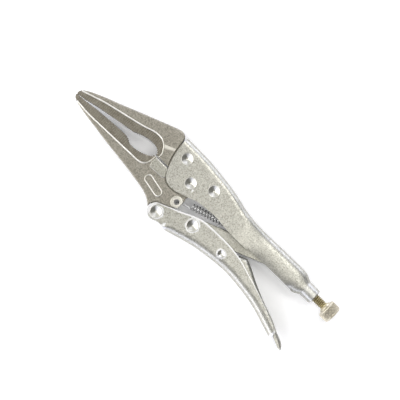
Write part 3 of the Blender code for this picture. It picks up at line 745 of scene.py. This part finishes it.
def trough_section(edge, spine, rise, half, reach):
    """Half a trough's section: the side wall from its free edge, then the bend and the spine."""
    (x, y), (spine_x, spine_y) = edge, spine
    parts = [j / WALL_ROWS for j in range(WALL_ROWS + 1)]
    wall = [(x + (spine_x - x) * p, y + (spine_y - rise - y) * p, half) for p in parts]
    return wall + bend_section(spine_x, spine_y, rise, half, reach)


def ear_columns(count, first, last, side, edge_x, edge_ys, half):
    """Flat columns between an ear's round side and the upright edge where the trough begins.

    first and last run along the columns' two ends; edge_ys are the edge's start, bend and end.
    """
    start, bend, end = edge_ys
    heights = [*np.linspace(start, bend, WALL_ROWS + 1), *np.linspace(bend, end, BEND_ROWS + 1)[1:]]
    edge = np.array([(edge_x, y) for y in heights])
    share = np.linspace(0.0, 1.0, count)
    side = resample(side, np.linspace(0.0, 1.0, len(heights)))
    ear = coons(resample(first, share), resample(last, share), side, edge)
    return [[(x, y, half) for x, y in column] + [(*column[-1], half)] * 2 for column in ear]


def rear_section(x, top, bottom, count):
    """Points round the rolled rear of the upper handle, from its lower edge over to the spine."""
    middle = (top + bottom) / 2
    rise, fall = top - middle, middle - bottom
    reach = 41.0 + 37.0 * float(np.clip((x - 91.0) / 7.0, 0.0, 1.0))
    half = 5.9 - 0.3 * float(np.clip((x - 94.0) / 8.0, 0.0, 1.0))
    boxy = 0.75 + 0.25 * float(np.clip((x - 92.0) / 10.0, 0.0, 1.0))
    section = []
    for i in range(count):
        angle = math.radians(-reach + (90.0 + reach) * i / (count - 1))
        height = math.sin(angle)
        y = middle + rise * height if height > 0 else middle + fall * height / math.sin(math.radians(reach))
        section.append((y, half * max(0.0, math.cos(angle)) ** boxy))
    return section


def make_upper_handle():
    """The upper handle's sheet: flat side walls in front that roll into a tube behind."""
    count = UPPER_COLUMNS
    spine = stations(UPPER_TOP[0][0], UPPER_TOP[-1][0], smooth(UPPER_TOP), count)
    top = spine - (0.0, SPINE_BEND)
    bottom = stations(UPPER_BOTTOM[0][0], UPPER_REAR_BOTTOM[-1][0],
                      [*smooth(UPPER_BOTTOM), *smooth(UPPER_REAR_BOTTOM)], count)
    rows = np.linspace(0.0, 1.0, WALL_ROWS + 1)
    left = resample(smooth(UPPER_FRONT), rows)
    left[0], left[-1] = top[0], bottom[0]
    right = resample([tuple(top[-1]), tuple(bottom[-1])], rows)
    wall = coons(top, bottom, left, right)
    columns = []
    for i in range(count):
        column = [(*wall[i, j], HANDLE_HALF) for j in range(WALL_ROWS, -1, -1)]
        x, spine_y = spine[i]
        column += bend_section(x, spine_y, SPINE_BEND, HANDLE_HALF, SPINE_BEND)
        blend = float(np.clip((x - 42.0) / 24.0, 0.0, 1.0))
        blend = blend * blend * (3 - 2 * blend)
        rear = rear_section(x, spine_y, column[0][1], len(column))
        columns.append([(px, py + (ry - py) * blend, pz + (rz - pz) * blend)
                        for (px, py, pz), (ry, rz) in zip(column, rear)])
    holes = [(centre, RIVET_RADIUS + RIVET_HOLE_GAP) for centre in (A, FRONT_RIVET, REAR_RIVET)]
    return sheet_shell("upper_handle_shell", columns, SHEET, holes=holes)


def make_sleeve():
    """The rolled and threaded sleeve at the handle's end."""
    outer, inner = 5.5, SCREW_RADIUS + 0.25
    start, end = 101.5, 112.6
    profile = [(inner, start), (outer - 0.3, start), (outer, start + 0.5), (outer, end - 0.9),
               (outer - 0.25, end - 0.35), (outer - 0.8, end), (inner + 0.6, end), (inner, end - 0.6),
               (inner, start)]
    sleeve = lathe("handle_sleeve", profile, (0.0, 0.0, 0.0), 64, along_x=True)
    seam = prism("seam", [(99.0, -8.0), (114.0, -8.0), (114.0, 0.0), (99.0, 0.0)], -0.35, 0.35)
    return cut(sleeve, seam)


LOWER_EAR_TOP = [(-6.9, -27.4), (-3.6, -26.0), (0.0, -24.5), (3.1, -22.9), (6.6, -21.5)]
LOWER_TOP = [(6.6, -21.5), (12.6, -18.8), (17.4, -16.6), (22.1, -15.0), (27.0, -14.35), (40.0, -14.2),
             (50.0, -14.7), (60.0, -16.5), (70.0, -19.7), (80.0, -22.9), (90.0, -26.6), (100.0, -30.6),
             (105.0, -32.8), (108.0, -34.3), (109.6, -35.4)]
LOWER_SPINE = [(7.3, -37.5), (10.2, -37.1), (15.0, -35.7), (20.0, -34.3), (30.0, -31.9), (40.0, -30.4),
               (50.0, -29.4), (57.5, -29.1), (65.0, -29.6), (72.0, -30.5), (80.0, -31.7), (90.0, -34.1),
               (100.0, -37.4), (109.4, -40.6)]
LOWER_BEND = 5.2
EAR_END = 6.6


def make_lower_handle():
    """The lower handle's sheet: round ears at the jaw's rivet, then a trough with a bent spine."""
    ear_count, trough_count = LOWER_EAR_COLUMNS, LOWER_TROUGH_COLUMNS
    circle = arc(B, 6.1, 124.0, 290.0, 3.0)
    top, spine = smooth(LOWER_TOP), smooth(LOWER_SPINE)
    columns = ear_columns(ear_count, smooth(LOWER_EAR_TOP), [*circle[42:], (1.7, -36.9), (EAR_END, -36.7)],
                          circle[:43], EAR_END, (top[0][1], LOWER_BEND - 37.5, -36.7), HANDLE_HALF)
    for edge, ridge in zip(stations(spine[0][0], top[-1][0], top, trough_count),
                           stations(spine[0][0], spine[-1][0], spine, trough_count)):
        grown = min(1.0, (ridge[0] - EAR_END) / 4.5)
        bend = LOWER_BEND * (0.12 + 0.88 * grown * (2 - grown))
        columns.append(trough_section(edge, ridge, -bend, HANDLE_HALF, bend))

    def missing(column, row):
        return row >= WALL_ROWS + BEND_ROWS and column < ear_count

    holes = [(centre, radius + RIVET_HOLE_GAP)
             for centre, radius in ((B, RIVET_RADIUS), (C, RIVET_RADIUS), (LEVER_PIN, PIN_RADIUS))]
    return sheet_shell("lower_handle_shell", columns, SHEET, missing, holes=holes)


LEVER_TOP = [(57.2, -15.0), (58.6, -14.5), (60.0, -13.95), (61.6, -13.2), (62.4, -12.95), (63.2, -13.1),
             (65.0, -13.8), (68.0, -15.2), (71.3, -16.8), (75.2, -18.95), (80.0, -21.3), (90.0, -25.7),
             (100.0, -29.4), (105.0, -31.6), (110.0, -34.2), (115.0, -36.2), (118.2, -38.0), (120.3, -40.3)]
LEVER_EAR_TOP = [(46.0, -18.7), (49.0, -18.5), (52.0, -17.6), (54.8, -16.2), (56.6, -15.3)]
LEVER_UNDER = [(50.0, -25.6), (57.2, -25.7), (65.0, -26.2), (72.0, -27.0), (80.0, -28.3), (90.0, -30.7),
               (100.0, -33.9), (106.0, -36.0), (110.2, -37.4), (112.3, -39.0), (117.5, -41.2),
               (119.6, -42.2)]
LEVER_BEND = 2.6


def make_release_lever():
    """The release lever: ears at its rivet, then an upside-down trough that runs out to the tail."""
    ear_count, trough_count = LEVER_EAR_COLUMNS, LEVER_TROUGH_COLUMNS
    circle = arc(LEVER_PIN, 3.9, 108.0, 282.0, 3.0)
    top, under = smooth(LEVER_TOP), smooth(LEVER_UNDER)
    ear_x, ear_top = LEVER_EAR_TOP[-1]
    ear_under = height_at(LEVER_UNDER, ear_x)
    columns = ear_columns(ear_count, [circle[-1], LEVER_UNDER[0], (ear_x, ear_under)],
                          smooth([circle[0], *LEVER_EAR_TOP[1:]]), circle[::-1], ear_x,
                          (ear_under, ear_top - LEVER_BEND * 0.4, ear_top), LEVER_HALF)
    for edge, ridge in zip(stations(top[0][0], under[-1][0], under, trough_count),
                           stations(top[0][0], top[-1][0], top, trough_count)):
        bend = min(LEVER_BEND, max(0.4, ridge[1] - edge[1] - 0.3))
        columns.append(trough_section(edge, ridge, bend, LEVER_HALF, LEVER_BEND))

    def missing(column, row):
        return column < ear_count and row >= WALL_ROWS + (0 if column == ear_count - 1 else BEND_ROWS)

    return sheet_shell("release_lever_shell", columns, LEVER_SHEET, missing, rim=0.35)


def make_toggle_link():
    run = (D - C).normalized()
    lean = math.degrees(math.atan2(run.y, run.x))
    outline = [*arc(C, 5.6, lean + 90.0, lean + 270.0), *arc(D, 5.3, lean - 90.0, lean + 90.0)]
    link = rounded_plate("toggle_link_plate", outline, 0.5, LINK_HALF)
    far = C + run * 2.4 - Vector((-run.y, run.x, 0.0)) * 1.35
    turn = math.degrees(math.atan2(far.y - C.y, far.x - C.x))
    slot = [*arc(C, 3.7, turn + 90.0, turn + 270.0), *arc(far, 3.7, turn - 90.0, turn + 90.0)]
    return cut(link, prism("link_slot", slot, -8.0, 8.0))


def make_rivet(name, centre, radius, depth):
    """A rivet with a rolled rim and a cup dimple at each end."""
    face = HANDLE_HALF
    rim = [(0.0, face - depth), (radius * 0.12, face - depth + 0.06), (radius * 0.2, face - depth + 0.24),
           (radius * 0.86, face - 0.12), (radius * 0.91, face + 0.0), (radius * 0.95, face + 0.05),
           (radius * 0.99, face - 0.03), (radius * 1.0, face - 0.25), (radius * 0.98, face - 1.8),
           (radius * 0.72, face - SHEET - 0.1)]
    profile = [*rim, *((r, -h) for r, h in reversed(rim))]
    return shade(lathe(name, profile, (centre[0], centre[1], 0.0), 56), 50.0)


def make_screw():
    """The adjusting screw with a real helical thread up to its smooth hub."""
    pitch, around, per_pitch = THREAD_PITCH, 36, 10
    crest, root = SCREW_RADIUS, SCREW_RADIUS - 0.75
    start, end, hub_end = SCREW_TIP, KNOB_LOW.x - 0.9, KNOB_HIGH.x - 2.4
    work = bmesh.new()
    rings = []
    count = int((end - start) / pitch * per_pitch)
    for i in range(count + 1):
        x = start + (end - start) * i / count
        fade = min(1.0, (x - start) / 1.5, (end - x) / 1.2)
        waves = [abs(2 * ((x / pitch - k / around) % 1.0) - 1) for k in range(around)]
        depths = [(crest - root) * min(1.0, 1.2 * wave) * fade for wave in waves]
        rings.append(ring_at(work, x, [root + depth for depth in depths]))
    for x, radius in ((end + 0.1, root), (end + 0.3, crest - 0.1), (KNOB_LOW.x + 0.2, crest - 0.1),
                      (KNOB_LOW.x + 0.3, root), (hub_end, root)):
        rings.append(ring_at(work, x, [radius] * around))
    skin(work, rings)
    work.faces.new(rings[0][::-1])
    work.faces.new(rings[-1])
    return shade(mesh_from("screw_thread", work), 40.0)


def make_knob():
    """The knob: hub, undercut, and a band of diamond knurling with rounded edges."""
    radius = KNOB_HIGH.z
    start, end = KNOB_LOW.x, KNOB_HIGH.x
    band_start, band_end = start + 2.2, end - 1.2
    around, diamonds = 280, 28
    pitch = 2 * math.pi * radius / diamonds
    rows = 44
    plain = [(SCREW_RADIUS - 0.2, start), (radius - 3.2, start), (radius - 2.5, start + 0.5),
             (radius - 2.3, start + 1.2), (radius - 1.2, start + 1.3), (radius - 0.5, start + 1.6),
             (radius - 0.12, start + 2.0)]
    tail = [(radius - 0.12, band_end + 0.2), (radius - 0.45, end - 0.45), (radius - 1.1, end - 0.1),
            (radius - 1.7, end), (radius - 2.2, end - 0.15), (0.0, end - 0.15)]
    rings = [(x, [r] * around) for r, x in plain]
    for i in range(rows + 1):
        x = band_start + (band_end - band_start) * i / rows
        fade = min(1.0, (x - band_start) / 0.5, (band_end - x) / 0.5)
        ring = []
        for k in range(around):
            turn = k / around * diamonds
            first = abs(2 * ((turn + x / pitch) % 1.0) - 1)
            second = abs(2 * ((turn - x / pitch) % 1.0) - 1)
            groove = max(0.0, 1 - min(1 - first, 1 - second) * 1.9)
            ring.append(radius - 0.02 - 0.75 * fade * groove - 0.1 * (1 - fade))
        rings.append((x, ring))
    rings += [(x, [r] * around) for r, x in tail[:-1]]
    work = bmesh.new()
    loops = [ring_at(work, x, radii) for x, radii in rings]
    skin(work, [*loops, [work.verts.new((tail[-1][1], 0.0, 0.0))]])
    work.faces.new(loops[0][::-1])
    return shade(mesh_from("knurled_knob", work), 55.0)


def make_spring():
    """Hook in the jaw's hole, close coils, and a hook through the handle's tab."""
    start, end = Vector((11.2, -13.3, 0.0)), Vector((44.2, -3.4, 0.0))
    wire, mean, pitch, steps = 0.46, 2.05, 2.2, 18
    along = (end - start).normalized()
    up = Vector((-along.y, along.x, 0.0))
    out = Vector((0.0, 0.0, 1.0))
    turns = round((end - start).length / pitch)
    hook = smooth([(1.9, -18.3, -2.8), (1.9, -18.3, -1.4), (2.0, -18.2, -0.2), (3.2, -17.5, 0.0),
                   (5.4, -16.5, 0.0), (7.4, -15.9, 0.0), (9.0, -15.3, 0.0), (10.2, -15.1, 0.0)], 4)
    route = [Vector(p) for p in hook]
    for i in range(turns * steps + 1):
        angle = 2 * math.pi * i / steps - math.pi / 2
        centre = start + (end - start) * i / (turns * steps)
        route.append(centre + mean * (math.cos(angle) * out + math.sin(angle) * up))
    route += [end + Vector((0.9, 0.4, 0.0)), Vector((46.4, -2.9, 0.0)), Vector((48.1, -2.9, 0.0))]
    return shade(tube("return_spring_wire", [tuple(p) for p in route], wire), 60.0)


# ---- assemble ---------------------------------------------------------------------------------------
def put(obj, body, node, look, angle=32.0):
    if not obj.modifiers:
        shade(obj, angle)
    paint(obj, look)
    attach(obj, body)
    if node:
        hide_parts(node)


def build():
    finish_jaws()
    put(make_upper_handle(), "upper_body", "upper_handle", HANDLE, 38.0)
    put(make_sleeve(), "upper_body", None, HANDLE)
    put(make_lower_handle(), "lower_body", "lower_handle", HANDLE, 38.0)
    put(make_release_lever(), "lever_body", "release_lever", HANDLE, 38.0)
    put(make_toggle_link(), "link_body", "toggle_link", LINK)
    put(make_screw(), "screw_body", "adjusting_screw", ZINC)
    put(make_knob(), "knob_body", "adjusting_knob", KNURL)
    for node, centre, radius, depth, body in (
            ("front_jaw_rivet", FRONT_RIVET, RIVET_RADIUS, CUP_DEPTH, "upper_body"),
            ("rear_jaw_rivet", REAR_RIVET, RIVET_RADIUS, CUP_DEPTH, "upper_body"),
            ("jaw_pivot_rivet", A, RIVET_RADIUS, CUP_DEPTH, "upper_body"),
            ("handle_pivot_rivet", B, RIVET_RADIUS, CUP_DEPTH, "lower_body"),
            ("link_pivot_rivet", C, RIVET_RADIUS, CUP_DEPTH, "lower_body"),
            ("lever_pivot_rivet", LEVER_PIN, PIN_RADIUS, PIN_CUP_DEPTH, "lower_body")):
        put(make_rivet(f"{node}_head", centre, radius, depth), body, node, RIVET)
    spring = make_spring()
    paint(spring, WIRE)
    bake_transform(spring)
    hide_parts("return_spring")


# ---- stage ------------------------------------------------------------------------------------------
def make_floor():
    bpy.ops.mesh.primitive_plane_add(size=6.0, location=(0.0, 0.0, 0.0))
    floor = bpy.context.object
    floor.name = "floor"
    made = bpy.data.materials.new("pale_floor")
    made.use_nodes = True
    shader = made.node_tree.nodes["Principled BSDF"]
    shader.inputs["Base Color"].default_value = (0.95, 0.95, 0.955, 1.0)
    shader.inputs["Roughness"].default_value = 0.9
    shader.inputs["Specular IOR Level"].default_value = 0.1
    shader.inputs["Emission Color"].default_value = (0.97, 0.98, 1.0, 1.0)
    shader.inputs["Emission Strength"].default_value = 0.14
    floor.data.materials.append(made)


ROLL = math.radians(44.0)
IMAGE_RIGHT = Vector((math.cos(ROLL), math.sin(ROLL), 0.0))
IMAGE_UP = Vector((-math.sin(ROLL), math.cos(ROLL), 0.0))
LIGHT_TARGET = (12.0, -6.0)
VIEW_CENTRE = (12.1, -6.4)


def direction(azimuth, elevation):
    """A unit vector; azimuth is in image axes, 0 to the right and 90 up."""
    turn, rise = math.radians(azimuth), math.radians(elevation)
    level = IMAGE_RIGHT * math.cos(turn) + IMAGE_UP * math.sin(turn)
    return level * math.cos(rise) + Vector((0.0, 0.0, math.sin(rise)))


def soft_box(name, azimuth, elevation, distance, size, radiance, colour):
    """A rectangular light aimed at the tool from a direction."""
    lamp = bpy.data.lights.new(name, "AREA")
    lamp.shape = "RECTANGLE"
    lamp.size, lamp.size_y = size
    lamp.energy = radiance * math.pi * size[0] * size[1]
    lamp.color = colour
    obj = bpy.data.objects.new(name, lamp)
    bpy.context.scene.collection.objects.link(obj)
    target = place(*LIGHT_TARGET)
    obj.location = target + direction(azimuth, elevation) * distance
    obj.rotation_euler = (target - obj.location).to_track_quat("-Z", "Y").to_euler()


def make_camera():
    """Straight above the tool, rolled so that the screw runs down to the right, as photographed."""
    span, distance = 0.268, 1.0
    lens = bpy.data.cameras.new("camera")
    lens.sensor_width = 36.0
    lens.lens = lens.sensor_width * distance / span
    camera = bpy.data.objects.new("camera", lens)
    bpy.context.scene.collection.objects.link(camera)
    camera.location = place(*VIEW_CENTRE) + Vector((0.0, 0.0, distance))
    camera.rotation_euler = (0.0, 0.0, ROLL)
    bpy.context.scene.camera = camera


def make_world():
    """A light tent: bright toward the image's upper left, dim toward its lower right."""
    world = bpy.data.worlds.new("studio")
    bpy.context.scene.world = world
    world.use_nodes = True
    tree = world.node_tree
    ahead = tree.nodes.new("ShaderNodeTexCoord").outputs["Generated"]
    toward = tree.nodes.new("ShaderNodeVectorMath")
    toward.operation = "DOT_PRODUCT"
    toward.inputs[1].default_value = direction(140.0, 20.0)
    tree.links.new(ahead, toward.inputs[0])
    spread = tree.nodes.new("ShaderNodeMapRange")
    spread.inputs["From Min"].default_value = -1.0
    tree.links.new(toward.outputs["Value"], spread.inputs["Value"])
    ramp = tree.nodes.new("ShaderNodeValToRGB")
    stops = [(0.0, 0.05), (0.35, 0.13), (0.5, 0.32), (0.68, 0.5), (0.85, 0.8), (1.0, 0.9)]
    ramp.color_ramp.elements[0].position, ramp.color_ramp.elements[1].position = stops[0][0], stops[-1][0]
    for position, _ in stops[1:-1]:
        ramp.color_ramp.elements.new(position)
    for element, (_, grey) in zip(ramp.color_ramp.elements, stops):
        element.color = (grey, grey * 0.995, grey * 0.98, 1.0)
    tree.links.new(spread.outputs["Result"], ramp.inputs["Fac"])
    tree.links.new(ramp.outputs["Color"], tree.nodes["Background"].inputs["Color"])
    tree.nodes["Background"].inputs["Strength"].default_value = 0.85


build()
make_floor()
make_world()
make_camera()
soft_box("overhead_box", 48.0, 60.0, 1.0, (0.5, 0.4), 5.6, (1.0, 0.995, 0.98))
soft_box("upper_left_box", 162.0, 46.0, 1.0, (0.5, 0.5), 3.6, (1.0, 0.99, 0.98))
soft_box("rear_box", -44.0, 72.0, 1.0, (0.4, 0.4), 3.4, (1.0, 0.99, 0.97))
soft_box("left_box", 184.0, 22.0, 0.9, (1.4, 0.5), 2.0, (1.0, 0.99, 0.97))
soft_box("right_box", 60.0, 12.0, 1.0, (1.2, 0.42), 4.6, (0.80, 0.83, 1.0))
soft_box("low_left_box", 234.0, 16.0, 1.0, (1.5, 0.55), 2.7, (0.79, 0.82, 1.0))
bpy.context.scene.view_settings.view_transform = "Standard"
